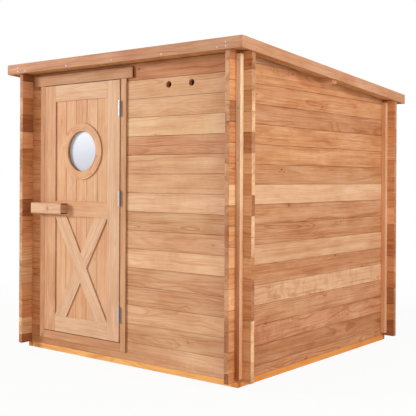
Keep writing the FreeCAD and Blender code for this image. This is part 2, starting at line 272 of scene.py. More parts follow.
# %% [markdown]
# The boards of a piece are collected in a stack, and the stack becomes one mesh. A board is sawn in
# its own axes and then laid in one of eight ways. With its points it brings what the shader has to
# know of it: its place in the trunk, its tone, its liveliness and the way its grain runs. These
# become attributes of the mesh, so thousands of boards could share one material.

# %% Stacks of boards
rng = np.random.default_rng(27)
WAYS = {"x": (1, 0, 0), "y": (0, 1, 0), "z": (0, 0, 1), "-x": (-1, 0, 0), "-y": (0, -1, 0), "-z": (0, 0, -1)}
AXES = {name: np.array([WAYS[way] for way in ways.split()], float) for name, ways in {
    "front": "x y z", "back": "-x -y z", "right": "y -x z", "left": "-y x z", "upright": "z y -x",
    "upright_side": "z -x -y", "floor": "x -z y", "ceiling": "y z x"}.items()}
LAYERS = (("grain", "FLOAT_VECTOR", "vector"), ("tone", "FLOAT_COLOR", "color"),
          ("look", "FLOAT_VECTOR", "vector"), ("run", "FLOAT_VECTOR", "vector"))
LIVELY = (0.7, 0.0, 0.5)  # rings, curl and knots of common timber
PLAIN = (0.45, 0.0, 0.25)  # the same of calm timber


class Stack:
    """Boards collected for one piece, with what the wood shader needs to know of each."""

    def __init__(self):
        """Starts with no boards; each layer is one attribute of the mesh to be."""
        self.points, self.faces, self.count = [], [], 0
        self.layers = [[] for _ in LAYERS]

    def add(self, board, axes, origin, tone, look=LIVELY, shape=None, along=None, weather=None):
        """Puts a board, given in its own axes, at origin; axes are its u, v and w in the world.

        A tone is a name, or stops of (place along the board, name) that run into each other.
        shape bends or shears the placed points, and weather gives each a factor for its
        tone: mostly painted shade, and marks such as a knot.
        The grain coordinate is the board's own u, v and w, or the place in the world measured
        along a grain that lies slanted in the door's plane. It is moved along the trunk by a
        random length and away from the trunk's heart, so no two boards repeat.
        """
        local, faces = board
        world = local @ axes + np.asarray(origin, float)
        if shape is not None:
            world = shape(world)
        stops = [(0.0, tone)] if isinstance(tone, str) else tone
        places, names = zip(*stops)
        colours = np.array([TONES[name] for name in names])
        shade = np.stack([np.interp(local[:, 0], places, channel) for channel in colours.T], axis=1)
        if along is not None:
            local = world @ np.array([along, WAYS["y"], np.cross(along, WAYS["y"])]).T
        heart = np.array([rng.uniform(0, 80), rng.uniform(0.03, 0.09) * rng.choice([-1, 1]),
                          rng.uniform(-0.05, 0.05)])
        middle = (local.min(0) + local.max(0)) / 2 * (0, 1, 1)
        if weather is not None:
            shade = shade * weather(world)
        shade = np.clip(shade * (1 + rng.normal(0, 0.015)) * (1 + rng.normal(0, 0.008, 3)), 0, 1)
        tone = np.column_stack([shade, np.ones(len(shade))])
        run = axes[0] if along is None else along
        for layer, value in zip(self.layers, (local - middle + heart, tone, look, run)):
            layer.append(np.broadcast_to(value, (len(local), np.shape(value)[-1])))
        self.points.append(world)
        self.faces.append(faces + self.count)
        self.count += len(local)

    def box(self, axes, low, high, tone, look=LIVELY, ease=0.0015, shape=None, facets=2,
            weather=None, cells=(1, 1)):
        """A plain board that fills the box from low to high, with its grain along the first axis.

        cells says into how many parts its length and width are cut, where painted shade and marks need
        the points.
        """
        turn = AXES[axes]
        low, high = np.asarray(low, float), np.asarray(high, float)
        length, thickness, width = np.abs(turn) @ (high - low)
        stations, rows = (np.linspace(0, size, count + 1)[1:-1] for size, count in zip((length, width), cells))
        board = timber(length, thickness, 0.0, width, stations, ease, rows, facets=facets)
        self.add(board, turn, np.where(turn.sum(0) < 0, high, low), tone, look, shape, weather=weather)

    def piece(self, name, material, body, slot, *nodes):
        """Turns the collected boards into one Blender object that rides on a body."""
        faces = np.concatenate(self.faces)
        mesh = new_mesh(name, np.concatenate(self.points), faces)
        for (title, kind, key), values in zip(LAYERS, self.layers):
            layer = mesh.attributes.new(title, kind, "POINT")
            layer.data.foreach_set(key, np.concatenate(values).reshape(-1))
        finished(name, mesh, material, body, nodes)
        print(f"{name}: {len(self.points)} boards, {len(faces)} quads")


print("a stack keeps", [title for title, _, _ in LAYERS], "for every point")

# %% [markdown]
# Colours are written the way they are seen on a screen, and turned into the linear values that the
# shader works with. The wood has a few plain tones, named as a timber merchant would, and each
# course of a wall is given one of them.

# %% Named tones
def linear(red, green, blue):
    """Screen colour, 0 to 255, to linear light: a power of 2.4 above a small foot."""
    value = np.array([red, green, blue]) / 255
    return np.where(value <= 0.04045, value / 12.92, ((value + 0.055) / 1.055) ** 2.4)


TONES = {name: linear(*screen) for name, screen in {
    "cream": (239, 197, 153), "pale": (232, 188, 148), "sand": (225, 178, 135), "peach": (227, 177, 134),
    "tan": (215, 166, 123), "rose": (213, 158, 114), "amber": (219, 163, 114), "russet": (208, 153, 108),
    "umber": (202, 144, 98), "door": (226, 187, 150), "jamb": (202, 148, 105), "fascia": (210, 158, 119),
    "rosy": (203, 150, 113), "deck": (214, 163, 104), "base": (250, 192, 112), "base side": (237, 161, 74),
    "batten": (255, 226, 187), "honey": (255, 214, 162), "glow": (252, 194, 140), "ember": (234, 169, 113),
    "rust": (222, 156, 101), "char": (184, 122, 74), "bone": (252, 210, 165), "ash": (224, 178, 136),
    "dusk": (206, 153, 111), "smoke": (176, 121, 79), "felt": (80, 84, 80),
}.items()}
print(len(TONES), "tones")

# %% [markdown]
# A shader is a tree of nodes. Here a node's output can be reckoned with like a number: each sum,
# product or remapping adds one more node and gives back its output.

# %% Node helpers
class Signal:
    """A node's output in a tree; each method adds a node that works on it."""

    def __init__(self, tree, socket):
        """Notes the tree and the socket that the value comes from."""
        self.tree, self.socket = tree, socket

    def other(self, output):
        """Another output of the same node."""
        return Signal(self.tree, self.socket.node.outputs[output])

    def calc(self, operation, *values):
        """Arithmetic on numbers."""
        return add(self.tree, "ShaderNodeMath", enumerate((self, *values)), operation=operation)

    def vec(self, operation, *values):
        """Arithmetic on vectors; a length or a dot product comes out as a number."""
        output = "Value" if operation in ("LENGTH", "DOT_PRODUCT") else "Vector"
        return add(self.tree, "ShaderNodeVectorMath", enumerate((self, *values)), output, operation=operation)

    def __add__(self, number):
        """The sum of two numbers."""
        return self.calc("ADD", number)

    def __truediv__(self, number):
        """One number over another."""
        return self.calc("DIVIDE", number)

    def __mul__(self, factor):
        """A number times another, or a vector with each part times its own factor."""
        return self.vec("MULTIPLY", factor) if isinstance(factor, tuple) else self.calc("MULTIPLY", factor)

    def noise(self, detail=2.0, roughness=0.5, scale=1.0, output=0):
        """Smooth noise at this place, about 0.5 in the middle."""
        links = {"Vector": self, "Scale": scale, "Detail": detail, "Roughness": roughness}
        return add(self.tree, "ShaderNodeTexNoise", links, output)

    def remap(self, low, high, to_low=0.0, to_high=1.0, kind="SMOOTHSTEP"):
        """Moves values between low and high to the span from to_low to to_high, and stops there."""
        links = {"Value": self, "From Min": low, "From Max": high, "To Min": to_low, "To Max": to_high}
        return add(self.tree, "ShaderNodeMapRange", links, interpolation_type=kind)

    def mix(self, kind, first, second):
        """Two colours, mixed or multiplied as far as this signal says."""
        return add(self.tree, "ShaderNodeMix", {0: self, 6: first, 7: second}, 2,
                   data_type="RGBA", blend_type=kind)

    def relief(self, strength, distance):
        """A normal that leans as if this were the surface's height."""
        return add(self.tree, "ShaderNodeBump", {"Height": self, "Strength": strength, "Distance": distance})


def feed(tree, node, links):
    """Sets a node's sockets to plain values, or joins them to signals."""
    for key, value in links.items():
        if isinstance(value, Signal):
            tree.links.new(value.socket, node.inputs[key])
        else:
            node.inputs[key].default_value = value


def add(tree, kind, links=(), output=0, **settings):
    """A new node, fed with links, as the signal of one of its outputs."""
    made = tree.nodes.new(kind)
    for key, value in settings.items():
        setattr(made, key, value)
    feed(tree, made, dict(links))
    return Signal(tree, made.outputs[output])


def split(vector):
    """The three parts of a vector."""
    first = add(vector.tree, "ShaderNodeSeparateXYZ", {0: vector})
    return first, first.other(1), first.other(2)


def join(tree, *parts):
    """A vector from its three parts."""
    return add(tree, "ShaderNodeCombineXYZ", enumerate(parts))


def colour(red, green, blue):
    """A screen colour as a shader's socket wants it."""
    return (*linear(red, green, blue), 1.0)


print("screen grey 128 is", round(colour(128, 128, 128)[0], 3), "in the shader")

# %% [markdown]
# Wood is solid: its figure is what the saw shows of rings that run through the whole trunk. So the
# shader measures each point's distance from the trunk's heart, lets slow noise bend the trunk, and
# turns that distance into rings. Where the board cuts the rings at a slant they spread into arches
# and ovals, and the end grain shows arcs, with no image and no seam at the corners.
# Knots come from a Voronoi texture: a few of its cells hold one, and the rings swell round it.

# %% Sizes of the wood figure, and an empty group
RING = 0.0085  # width of one year's growth, metres
KNOT_CELL = (0.62, 0.60, 0.135)  # size of a cell that may hold a knot


def new_group(name, inputs, outputs):
    """An empty shader group with named sockets."""
    tree = bpy.data.node_groups.new(name, "ShaderNodeTree")
    for title, kind, value in inputs:
        socket = tree.interface.new_socket(title, in_out="INPUT", socket_type=f"NodeSocket{kind}")
        if value is not None:
            socket.default_value = value
    for title, kind in outputs:
        tree.interface.new_socket(title, in_out="OUTPUT", socket_type=f"NodeSocket{kind}")
    source = {socket.name: Signal(tree, socket) for socket in tree.nodes.new("NodeGroupInput").outputs}
    return tree, source, tree.nodes.new("NodeGroupOutput")


print(f"a ring is {RING * 1000} mm wide")

# %% [markdown]
# The group takes a place in the trunk and a tone, and puts out a colour, a height for the relief
# and a roughness. It is built once, and every timber material uses it.

# %% The wood figure, as a group
def wood_group():
    """Colour, height and roughness of wood at a place in the trunk."""
    tree, source, sink = new_group(
        "wood figure",
        (("Grain", "Vector", None), ("Tone", "Color", None), ("Rings", "Float", 0.5), ("Curl", "Float", 0.0),
         ("Knots", "Float", 0.5), ("End", "Float", 0.0)),
        (("Colour", "Color"), ("Height", "Float"), ("Roughness", "Float")))
    grain, rings = source["Grain"], source["Rings"]
    along, depth, across = split(grain)

    # knots: a few Voronoi cells hold one, at the cell's own point
    cell = grain * tuple(1 / size for size in KNOT_CELL)
    point = add(tree, "ShaderNodeTexVoronoi", {"Vector": cell, "Scale": 1.0, "Randomness": 0.9}, "Position")
    chance = add(tree, "ShaderNodeTexWhiteNoise", {"Vector": point})
    present = chance.calc("LESS_THAN", source["Knots"] * 0.36)
    offset = cell.vec("SUBTRACT", point) * KNOT_CELL
    swell = present * (offset * (14.0, 0.0, 34.0)).vec("LENGTH").remap(1.0, 0.0)
    size = chance.calc("MULTIPLY_ADD", 0.020, 0.0025)
    knot = present * ((offset * (0.7, 0.0, 1.0)).vec("LENGTH") / size).remap(1.1, 0.55)

    # rings: distance from the bent heart of the trunk
    slow = (grain * (1.5, 5.0, 5.0)).noise(2.0, 0.45, output="Color")
    _, bent_y, bent_z = split(slow.vec("SUBTRACT", (0.5, 0.5, 0.5)) * (0.0, 0.095, 0.095))
    radius = join(tree, 0.0, depth + bent_y, across + bent_z).vec("LENGTH")
    radius = swell.calc("MULTIPLY_ADD", 0.012, along.calc("MULTIPLY_ADD", 0.006, radius))
    turns = (grain * (4.0, 42.0, 42.0)).noise().calc("MULTIPLY_ADD", 0.004, radius) / RING
    phase = turns.calc("FRACT")
    late = phase.remap(0.35, 0.86) * phase.remap(1.0, 0.9)
    year = join(tree, turns.calc("FLOOR"), (along * 0.25).calc("FLOOR"), 0.0)
    line = late * add(tree, "ShaderNodeTexWhiteNoise", {"Vector": year}).calc("POWER", 1.6)

    # broad bands that follow the rings, blotches, cross curl and fine fibre
    band = join(tree, radius * 62.0, along * 0.8, 0.0).noise(2.0, 0.6)
    blotch = (grain * (3.2, 6.0, 9.0)).noise(3.0, 0.55)
    fold = (grain * (9.0, 9.0, 22.0)).noise(1.0)
    folded = (grain * (34.0, 12.0, 9.0)).vec("ADD", join(tree, fold * 3.0, 0.0, 0.0))
    cloud = folded.noise(1.0).remap(0.36, 0.70, kind="LINEAR") * fold.remap(0.3, 0.7)
    fibre = (grain * (7.0, 420.0, 420.0)).noise(3.0, 0.65)
    streak = (grain * (1.4, 85.0, 85.0)).noise(3.0, 0.6)

    # the board's tone, multiplied layer by layer
    calm = rings.calc("MULTIPLY_ADD", 0.8, 0.2)
    figure = source["Tone"]
    for kind, mask, tint in (("MULTIPLY", band.remap(0.35, 0.72, 0.0, 0.8) * calm, (238, 224, 212)),
                             ("MULTIPLY", line * rings, (226, 194, 170)),
                             ("MULTIPLY", streak.remap(0.42, 0.72, 0.0, 0.8) * calm, (226, 200, 180)),
                             ("MULTIPLY", blotch.remap(0.42, 0.75, 0.0, 0.9) * calm, (232, 212, 196)),
                             ("SCREEN", blotch.remap(0.5, 0.25, 0.0, 0.15), (200, 176, 150)),
                             ("MULTIPLY", source["Curl"] * cloud, (214, 186, 164)),
                             ("MULTIPLY", fibre.remap(0.35, 0.75, 0.0, 0.45), (208, 184, 168)),
                             ("MULTIPLY", swell * 0.3, (218, 182, 156)),
                             ("MULTIPLY", knot * 0.8, (164, 112, 80))):
        figure = mask.mix(kind, figure, colour(*tint))
    sawn = blotch.remap(0.35, 0.7).mix("MULTIPLY", colour(251, 247, 243), colour(222, 212, 206))
    height = line.calc("MULTIPLY_ADD", -0.4, fibre * 0.6)
    feed(tree, sink, {"Colour": source["End"].mix("MULTIPLY", figure, sawn),
                      "Height": knot.calc("MULTIPLY_ADD", -0.4, height),
                      "Roughness": fibre.remap(0.2, 0.8, 0.60, 0.78, "LINEAR")})
    return tree


wood = wood_group()
print("the wood figure has", len(wood.nodes), "nodes")

# %% [markdown]
# A timber material hands each board's own attributes to the group. Where a face looks along the
# grain it is end grain: the normal is turned into the object's own axes and compared with the run.

# %% Timber materials
def new_material(name):
    """A material, its tree and its main shader."""
    material = bpy.data.materials.new(name)
    material.use_nodes = True
    return material, material.node_tree, material.node_tree.nodes["Principled BSDF"]


def timber_material(name):
    """Wood whose grain, tone and liveliness come from each board's own attributes."""
    material, tree, shader = new_material(name)
    grain, tone, look, run = (add(tree, "ShaderNodeAttribute", output=output, attribute_name=title)
                              for title, output in (("grain", "Vector"), ("tone", "Color"),
                                                    ("look", "Vector"), ("run", "Vector")))
    rings, curl, knots = split(look)
    normal = add(tree, "ShaderNodeNewGeometry", output="True Normal")
    facing = add(tree, "ShaderNodeVectorTransform", {0: normal}, vector_type="NORMAL",
                 convert_from="WORLD", convert_to="OBJECT")
    end = facing.vec("DOT_PRODUCT", run).calc("ABSOLUTE").remap(0.75, 0.95)
    figure = add(tree, "ShaderNodeGroup", {"Grain": grain, "Tone": tone, "Rings": rings, "Curl": curl,
                                           "Knots": knots, "End": end}, "Colour", node_tree=wood)
    feed(tree, shader, {"Base Color": figure, "Roughness": figure.other("Roughness"),
                        "Specular IOR Level": 0.3, "Normal": figure.other("Height").relief(0.25, 0.0006)})
    return material


wall_timber, door_timber, roof_timber, base_timber = (
    timber_material(f"{use} timber") for use in ("wall", "door", "roof", "base"))
IN_WALL = wall_timber, "cabin", "wall_timber"  # material, body and slot
IN_ROOF = roof_timber, "cabin", "roof_timber"
IN_LEAF = door_timber, "door", "door_timber"
print(len(bpy.data.materials), "timber materials")

# %% [markdown]
# The other finishes use the place in the object's own axes. Fine noise mixes two close colours, and
# on steel the same noise varies the gloss.

# %% Felt, steel, rubber, insulation and glass
def object_place(tree):
    """The place in the object's own axes."""
    return add(tree, "ShaderNodeTexCoord", output="Object")


def speckled(name, detail, roughness, scale, dark, light, gloss, metallic=0.0):
    """Fine noise mixes two colours, and spreads the gloss where it is a pair of roughnesses."""
    material, tree, shader = new_material(name)
    grain = object_place(tree).noise(detail, roughness, scale)
    if isinstance(gloss, tuple):
        gloss = grain.remap(0.2, 0.8, *gloss, "LINEAR")
    feed(tree, shader, {"Base Color": grain.mix("MIX", colour(*dark), colour(*light)),
                        "Roughness": gloss, "Metallic": metallic})
    return material


def felt_finish():
    """Grey-green mineral granules: two sizes of noise, over slow weathering."""
    material, tree, shader = new_material("mineral felt")
    place = object_place(tree)
    grit, coarse = place.noise(2.0, 0.7, 900.0), place.noise(2.0, 0.6, 260.0)
    weather = place.noise(3.0, 0.6, 2.5).remap(0.35, 0.7, 0.0, 0.7)
    base = grit.remap(0.3, 0.7).mix("MIX", colour(58, 62, 60), colour(112, 116, 110))
    feed(tree, shader, {"Base Color": weather.mix("MULTIPLY", base, colour(206, 210, 204)),
                        "Roughness": 0.92, "Normal": (grit + coarse).relief(0.6, 0.001)})
    return material


def glass_finish(foot, head):
    """Milky glass: pale blue-grey and a little cloudy, under a gloss; painted shade makes it darker to the
    foot.
    """
    material, tree, shader = new_material("porthole glass")
    painted_glass_shade = split(object_place(tree))[2].remap(foot, head)
    cloud = object_place(tree).noise(scale=3.0).remap(0.4, 0.8, 0.0, 0.5)
    base = painted_glass_shade.mix("MIX", colour(199, 204, 210), colour(223, 228, 237))
    feed(tree, shader, {"Base Color": cloud.mix("MULTIPLY", base, colour(240, 242, 246)),
                        "Roughness": 0.12, "Specular IOR Level": 0.5})
    return material


felt_material = felt_finish()
shade_seal_rubber = speckled("seal rubber", 2.0, 0.6, 300.0, (14, 13, 12), (34, 31, 29), 0.8)
insulation = speckled("insulation", 2.0, 0.5, 400.0, (214, 206, 180), (232, 226, 206), 0.9)
steel, dark_steel = (
    speckled(name, 3.0, 0.6, 220.0, dark, light, (0.28, 0.48), 0.85) for name, dark, light in (
        ("plated steel", (150, 158, 168), (204, 210, 218)), ("dulled steel", (58, 48, 42), (96, 84, 76))))
print(len(bpy.data.materials), "materials so far")

# %% [markdown]
# ## The walls
# The walls are stacked courses. At the corners each course runs on past the other wall, and a notch
# a quarter of its height deep, above and below, locks it over its neighbours. The top courses are
# sawn to the slope of the roof. The CAD gives each course's box, and the notches and the slope are
# put back here as stations along the board.

# %% Courses
course_height = 0.127
notch = course_height / 4
log_thickness = 0.035
kerf = 0.0006  # lean of a sawn notch's side
least_tab = 0.015  # the least wood over a lower notch, or a course under the roof has none
seam = 0.0006  # half the hairline between two courses
wall_ease = 0.0024  # planed edge of a course
planed = 0.0007  # the most that a course stands back from the wall's face
end_margin = 0.004  # no station lies nearer to a board's end
(_, front_face, _), (_, back_face, base_top) = corners("base_side_beams")
wall_left, stub_front, _ = corners("left_wall_odd_logs")[0]
wall_right = -wall_left
wall_inside = front_face + log_thickness
WALL_FACE = {"front": front_face, "back": back_face, "left": wall_left, "right": wall_right}
print(f"walls {wall_right - wall_left:.3f} wide, {back_face - front_face:.3f} deep")


def steps(cuts, height):
    """Places and heights of an edge that steps at each cut (place, before, after), or is level."""
    if not cuts:
        return np.zeros(1), np.array([height])
    places = np.array([(place - kerf / 2, place + kerf / 2) for place, _, _ in cuts])
    return places.reshape(-1), np.array([cut[1:] for cut in cuts]).reshape(-1)


def gap(place, level, cut, width=log_thickness):
    """The two cuts of a notch: to another height at place, and back after its width."""
    return [(place, level, cut), (place + width, cut, level)]


def bends(length, *places):
    """Sorted places where a board's edges bend, without those too near to its ends."""
    places = np.unique(np.concatenate(places))
    return places[(places > end_margin) & (places < length - end_margin)]


def lay(stack, side, start, length, bottom, top, stations, proud, tones, look, weather=None,
        rows=(), holes=()):
    """Puts a course in its wall, a little behind the face, half a hairline off its neighbours.

    All is given from the board's front or left end. The back and left walls' boards run the other
    way, so they are turned round.
    """
    if side in ("back", "left"):
        start = start + length
        bottom, top = ((length - places[::-1], heights[::-1]) for places, heights in (bottom, top))
        stations = length - stations[::-1]
        tones = [(length - place, name) for place, name in tones[::-1]]
    board = timber(length, log_thickness - proud, (bottom[0], bottom[1] + seam), (top[0], top[1] - seam),
                   stations, wall_ease, rows, holes)
    u, v, _ = AXES[side]
    origin = np.abs(u) * start + np.abs(v) * WALL_FACE[side] + v * proud
    stack.add(board, AXES[side], origin, tones, look, weather=weather)


# %% [markdown]
# Every course has its own tone. Beyond the crossing its stub and its end grain have tones of their
# own: partly the wood's own colour and partly painted shade, the deeper orange of the shaded
# corners. All lists run from the ground up.

# %% Tones of the courses
# The front's top course is umber: painted shade under the roof's overhang.
FRONT_TONES = "pale tan sand tan tan cream sand tan pale sand sand rose cream sand sand umber".split()
SIDE_TONES = ("russet umber rose rose pale russet sand russet rose pale russet amber amber russet amber "
              "amber tan").split()
ANY_TONES = ("tan", "rose", "umber", "russet", "pale", "sand", "amber", "peach")
CURLY = (2, 4)  # courses of the right wall with a strong cross figure
strong_curl, slight_curl = 0.55, 0.2
STUB_TONES = {side: names.split() for side, names in {
    "right": "rust rust rust ember glow ember glow ember rust honey rust rust rust char ember ember rust",
    "left": "char honey ember ember honey honey glow ember char ember ember rust glow char rust glow char",
    "front": "ember ember ember ember ember glow ember ember glow ember glow rust glow ember glow rust",
    "back": "char rust char rust rust rust rust glow ember rust rust glow ember rust ember rust",
}.items()}
END_TONES = {side: names.split() for side, names in {
    "right": "smoke ash smoke dusk ash dusk ash char ash bone ash dusk dusk ash ash ash ash",
    "left": "dusk bone ash dusk ash ash ash dusk dusk ash dusk dusk ash dusk ash dusk dusk",
    "front": "bone bone bone dusk dusk rust bone bone char bone bone ash honey bone ash dusk",
    "back": "dusk " * 16,
}.items()}


def tone_stops(length, first, last, tone, side, number):
    """Tones along a board: end grain, stub up to the first crossing, wall, and the same again."""
    stub, end = STUB_TONES[side][number], END_TONES[side][number]
    stops = [(0, tone)]
    if first > 0:
        stops = [(0, end), (wall_ease, stub), (first, stub), (first + log_thickness, tone)]
    if length > last:
        return stops + [(last - log_thickness, tone), (last, stub), (length - wall_ease, stub), (length, end)]
    return stops + [(length, tone)]


def course_look(tone, curl):
    """Ring contrast, curl and knots: dark boards are livelier than pale ones."""
    lively = {"cream": 0.5, "pale": 0.5, "sand": 0.6, "peach": 0.9, "tan": 0.8}.get(tone, 1.0)
    return (lively, curl, 0.3 + 0.5 * (tone not in ("cream", "pale", "sand")))


print(len(FRONT_TONES), "courses in front,", len(SIDE_TONES), "at the side")

# %% [markdown]
# The side walls stand half a course up from the front wall, so their first course is half as high.
# Their upper edges bend once more where the roof's slope meets them.

# %% Side walls
def side_wall(side):
    """Courses that run from front to back, notched where the front and back walls pass."""
    stack = Stack()
    names = f"{side}_wall_even_logs", f"{side}_wall_odd_logs"
    boxes = sorted(solids(names[0]) + solids(names[1]), key=lambda box: box[0][2])
    for number, (low, high) in enumerate(boxes):
        bottom, length = low[2], high[1] - stub_front
        top = bottom + course_height * (1.0 if number else 0.5)
        cuts_b, cuts_t = [], []
        for place, crossed in ((front_face, wall_inside), (back_face - log_thickness, back_face)):
            if number and soffit(crossed) - bottom - notch > least_tab:
                cuts_b += gap(place - stub_front, bottom, bottom + notch)
            cuts_t += gap(place - stub_front, top, top - notch)
        floor, ceiling = steps(cuts_b, bottom), steps(cuts_t, top)
        slope_meets = (soffit_front - top) / roof_fall + deck_low[1] - stub_front
        stations = bends(length, floor[0], ceiling[0], [slope_meets])
        fine = np.unique(np.concatenate([stations, [0.0, length]]))
        under = fine, np.minimum(np.interp(fine, *ceiling), soffit(fine + stub_front))
        tone = SIDE_TONES[number] if side == "right" else str(rng.choice(ANY_TONES))
        curl = strong_curl if side == "right" and number in CURLY else rng.uniform(0, slight_curl)
        proud = rng.uniform(0, planed)
        tones = tone_stops(length, front_face - stub_front, back_face - stub_front, tone, side, number)
        lay(stack, side, stub_front, length, floor, under, stations, proud, tones, course_look(tone, curl))
    stack.piece(f"{side}_wall_boards", *IN_WALL, *names)


side_wall("right")
side_wall("left")

# %% [markdown]
# The front wall's courses stop at the door frame, apart from the lowest and the highest, which are
# cut away round it. One course has two round vent holes, each a ring of quads in a square block.

# %% Doorway and vents in the front wall
CROSS_NODES = {
    "front": [f"front_wall_{part}" for part in ("bottom_log", "top_log", "vent_log", "left_even_logs",
                                                "left_odd_logs", "right_even_logs", "right_odd_logs")],
    "back": ["back_wall_odd_logs", "back_wall_even_logs"],
}
frame_left = corners("front_wall_left_odd_logs")[1][0]
frame_right = corners("front_wall_right_odd_logs")[0][0]
sill_lining, head_lining = 0.028, 0.027  # thickness of the linings under and over the doorway
frame_foot = corners("door_threshold")[1][2] - sill_lining
frame_head = corners("door_jambs")[1][2] + head_lining
vents = [mount["pos_m"] for mount in frame["record"]["mounts"] if mount["name"].startswith("vent_hole")]
vent_radius = 0.022
vent_block = 0.032  # half the side of the square block that a vent is cut from
vent_cells = 8
first_cell = len(quarter_round(2)[0])  # rows and stations that the eased edge takes up
shade_start, shade_end, shade_stations = 0.6, 0.93, 12  # where the right corner's darkening is carried
char_blend = 0.12  # how far past the doorway the lowest course's dark stretch has cleared


def painted_corner_shade(points):
    """Painted shade towards the right corner: darker with the square of the place past 0.6 m."""
    inside = wall_right - log_thickness
    near = np.clip((points[:, :1] - shade_start) / (inside - shade_start), 0, 1) ** 2
    near[points[:, 0] > inside + 0.001] = 0
    return 1 - near * (0.24, 0.23, 0.17)


print(f"doorway {frame_right - frame_left:.3f} wide, {len(vents)} vents")

# %% [markdown]
# Each course is sawn from its own box: notches where the side walls pass, the doorway where it
# meets it, and the vents. The top course ends under the roof.

# %% Front and back walls
def cross_wall(side):
    """Boards of the front or back wall, each notched where a side wall's course passes."""
    stack = Stack()
    front = side == "front"
    roof = soffit(wall_inside if front else back_face)
    for node in CROSS_NODES[side]:
        for low, high in solids(node):
            x0, length = low[0], high[0] - low[0]
            number = int(round((low[2] - base_top) / course_height))
            bottom = base_top + number * course_height
            top, cut = min(bottom + course_height, roof), bottom + course_height - notch
            cuts_b, cuts_t = [], []
            for place in (wall_left - x0, wall_right - log_thickness - x0):
                if 0 < place < length - log_thickness:
                    cuts_b += gap(place, bottom, bottom + (notch if number else course_height / 2 - notch))
                    if top - cut > SAME:
                        cuts_t += gap(place, top, cut)
            opening, width = frame_left - x0, frame_right - frame_left
            if node == "front_wall_bottom_log":
                cuts_t += gap(opening, top, frame_foot, width)
            if node == "front_wall_top_log":
                cuts_b += gap(opening, bottom, frame_head, width)
            floor, ceiling = steps(sorted(cuts_b), bottom), steps(sorted(cuts_t), top)
            stations = bends(length, floor[0], ceiling[0])
            if front and high[0] > wall_right:
                shaded = np.linspace(shade_start, shade_end, shade_stations) - x0
                stations = np.unique(np.concatenate([stations, shaded]))
            rows, holes = (), []
            if node == "front_wall_vent_log":
                cells = np.linspace(-vent_block, vent_block, vent_cells + 1)
                rows = vents[0][2] + cells
                blocks = [vent[0] - x0 + cells for vent in vents]
                stations = np.unique(np.concatenate([stations, *blocks]))
                for vent, block in zip(vents, blocks):
                    first = int(np.argmin(np.abs(stations - block[0]))) + first_cell
                    holes.append((first, first_cell, vent_cells, vent[0] - x0, vent[2], vent_radius))
            proud = rng.uniform(0, planed)
            tone = FRONT_TONES[number] if front else str(rng.choice(ANY_TONES))
            # Left of the doorway the short boards show only in the shaded gap by the corner: their rust and
            # ember are painted shade.
            if front and high[0] < 0:
                tone = "rust" if number < 4 else "ember"
            tones = tone_stops(length, wall_left - x0, wall_right - x0, tone, side, number)
            # Under the doorway the lowest course runs from char to tan: partly its own dark streak and partly
            # painted shade.
            if node == "front_wall_bottom_log":
                tones[3:4] = [(opening, "char"), (opening + width / 2, "umber"), (opening + width, "tan"),
                              (opening + width + char_blend, tone)]
            lay(stack, side, x0, length, floor, ceiling, stations, proud, tones,
                course_look(tone, rng.uniform(0, slight_curl)), painted_corner_shade if front else None, rows, holes)
    stack.piece(f"{side}_wall_boards", *IN_WALL, *CROSS_NODES[side])


cross_wall("front")
cross_wall("back")

# %% [markdown]
# ## Base, floor and battens
# Under the walls lies a frame of square-edged beams in a stronger orange, with joists between them
# and planks on top.

# %% Base frame and floor
base = Stack()
base_nodes = {"base_side_beams": ("left", "right"), "base_cross_beams": ("front", "back"),
              "floor_joists": ("left",) * 3}
for node, ways in base_nodes.items():
    tone = "base side" if node == "base_side_beams" else "base"
    for (low, high), way in zip(solids(node), ways):
        base.box(way, low, high, tone, (0.5, 0.0, 0.3), ease=0.002)
base.piece("base_frame", base_timber, "cabin", "base_timber", *base_nodes)

plank_count, plank_gap = 16, 0.001
floor_low, floor_high = corners("floor_boards")
planks = Stack()
for near, far in strips(floor_low[1], floor_high[1], plank_count):
    planks.box("floor", (floor_low[0], near + plank_gap / 2, floor_low[2]),
               (floor_high[0], far - plank_gap / 2, floor_high[2]),
               str(rng.choice(("tan", "sand", "russet", "peach"))), PLAIN, ease=0.002)
planks.piece("floor_planks", wall_timber, "cabin", "floor_timber", "floor_boards")

# %% [markdown]
# Four upright battens stand in the outer corners, where the walls' boards cross. Each is a single
# board, cut into short lengths so that the painted shade has points to colour. Their very pale tone
# is partly their own and partly painted light for faces that stand in the stubs' shade.

# %% Corner battens
foot_shade_height = 1.5


def painted_foot_shade(points):
    """Painted shade on a batten's foot: darker in step with the depth below 1.5 m, most on its front face."""
    foot = np.clip(1 - points[:, 2:] / foot_shade_height, 0, 1)
    front = points[:, 1:2] < points[:, 1].min() + SAME
    dark = foot * np.where(front, (0.57, 0.84, 0.97), (0.22, 0.5, 0.62))
    return np.where(front, (1.0, 0.92, 0.9), 1.0) * (1 - dark)


def painted_side_shade(points):
    """Painted shade on the back battens: darker and more orange all over, most on the faces that look sideways.
    """
    side = np.abs(points[:, :1]) > np.abs(points[:, 0]).max() - SAME
    return np.where(side, (0.76, 0.66, 0.62), (0.88, 0.66, 0.5))


battens = Stack()
for low, high in solids("corner_battens"):
    battens.box("upright_side", low, high, "batten", PLAIN, ease=0.0012,
                weather=painted_foot_shade if low[1] < 0 else painted_side_shade, cells=(12, 1))
battens.piece("battens", wall_timber, "cabin", "batten_timber", "corner_battens")

# %% [markdown]
# ## The roof
# Narrow tongued boards run from front to back over the walls and the purlin, and their V joints
# show under the eaves. Every roof piece is made level and then hung on the slope: a shear that adds
# the soffit's height at each point's depth, so that ends and joints stay plumb.

# %% Deck, purlin and fascias
def hung(points):
    """Moves points, given as heights above the soffit, down the roof's slope."""
    moved = points.copy()
    moved[:, 2] += soffit(points[:, 1])
    return moved


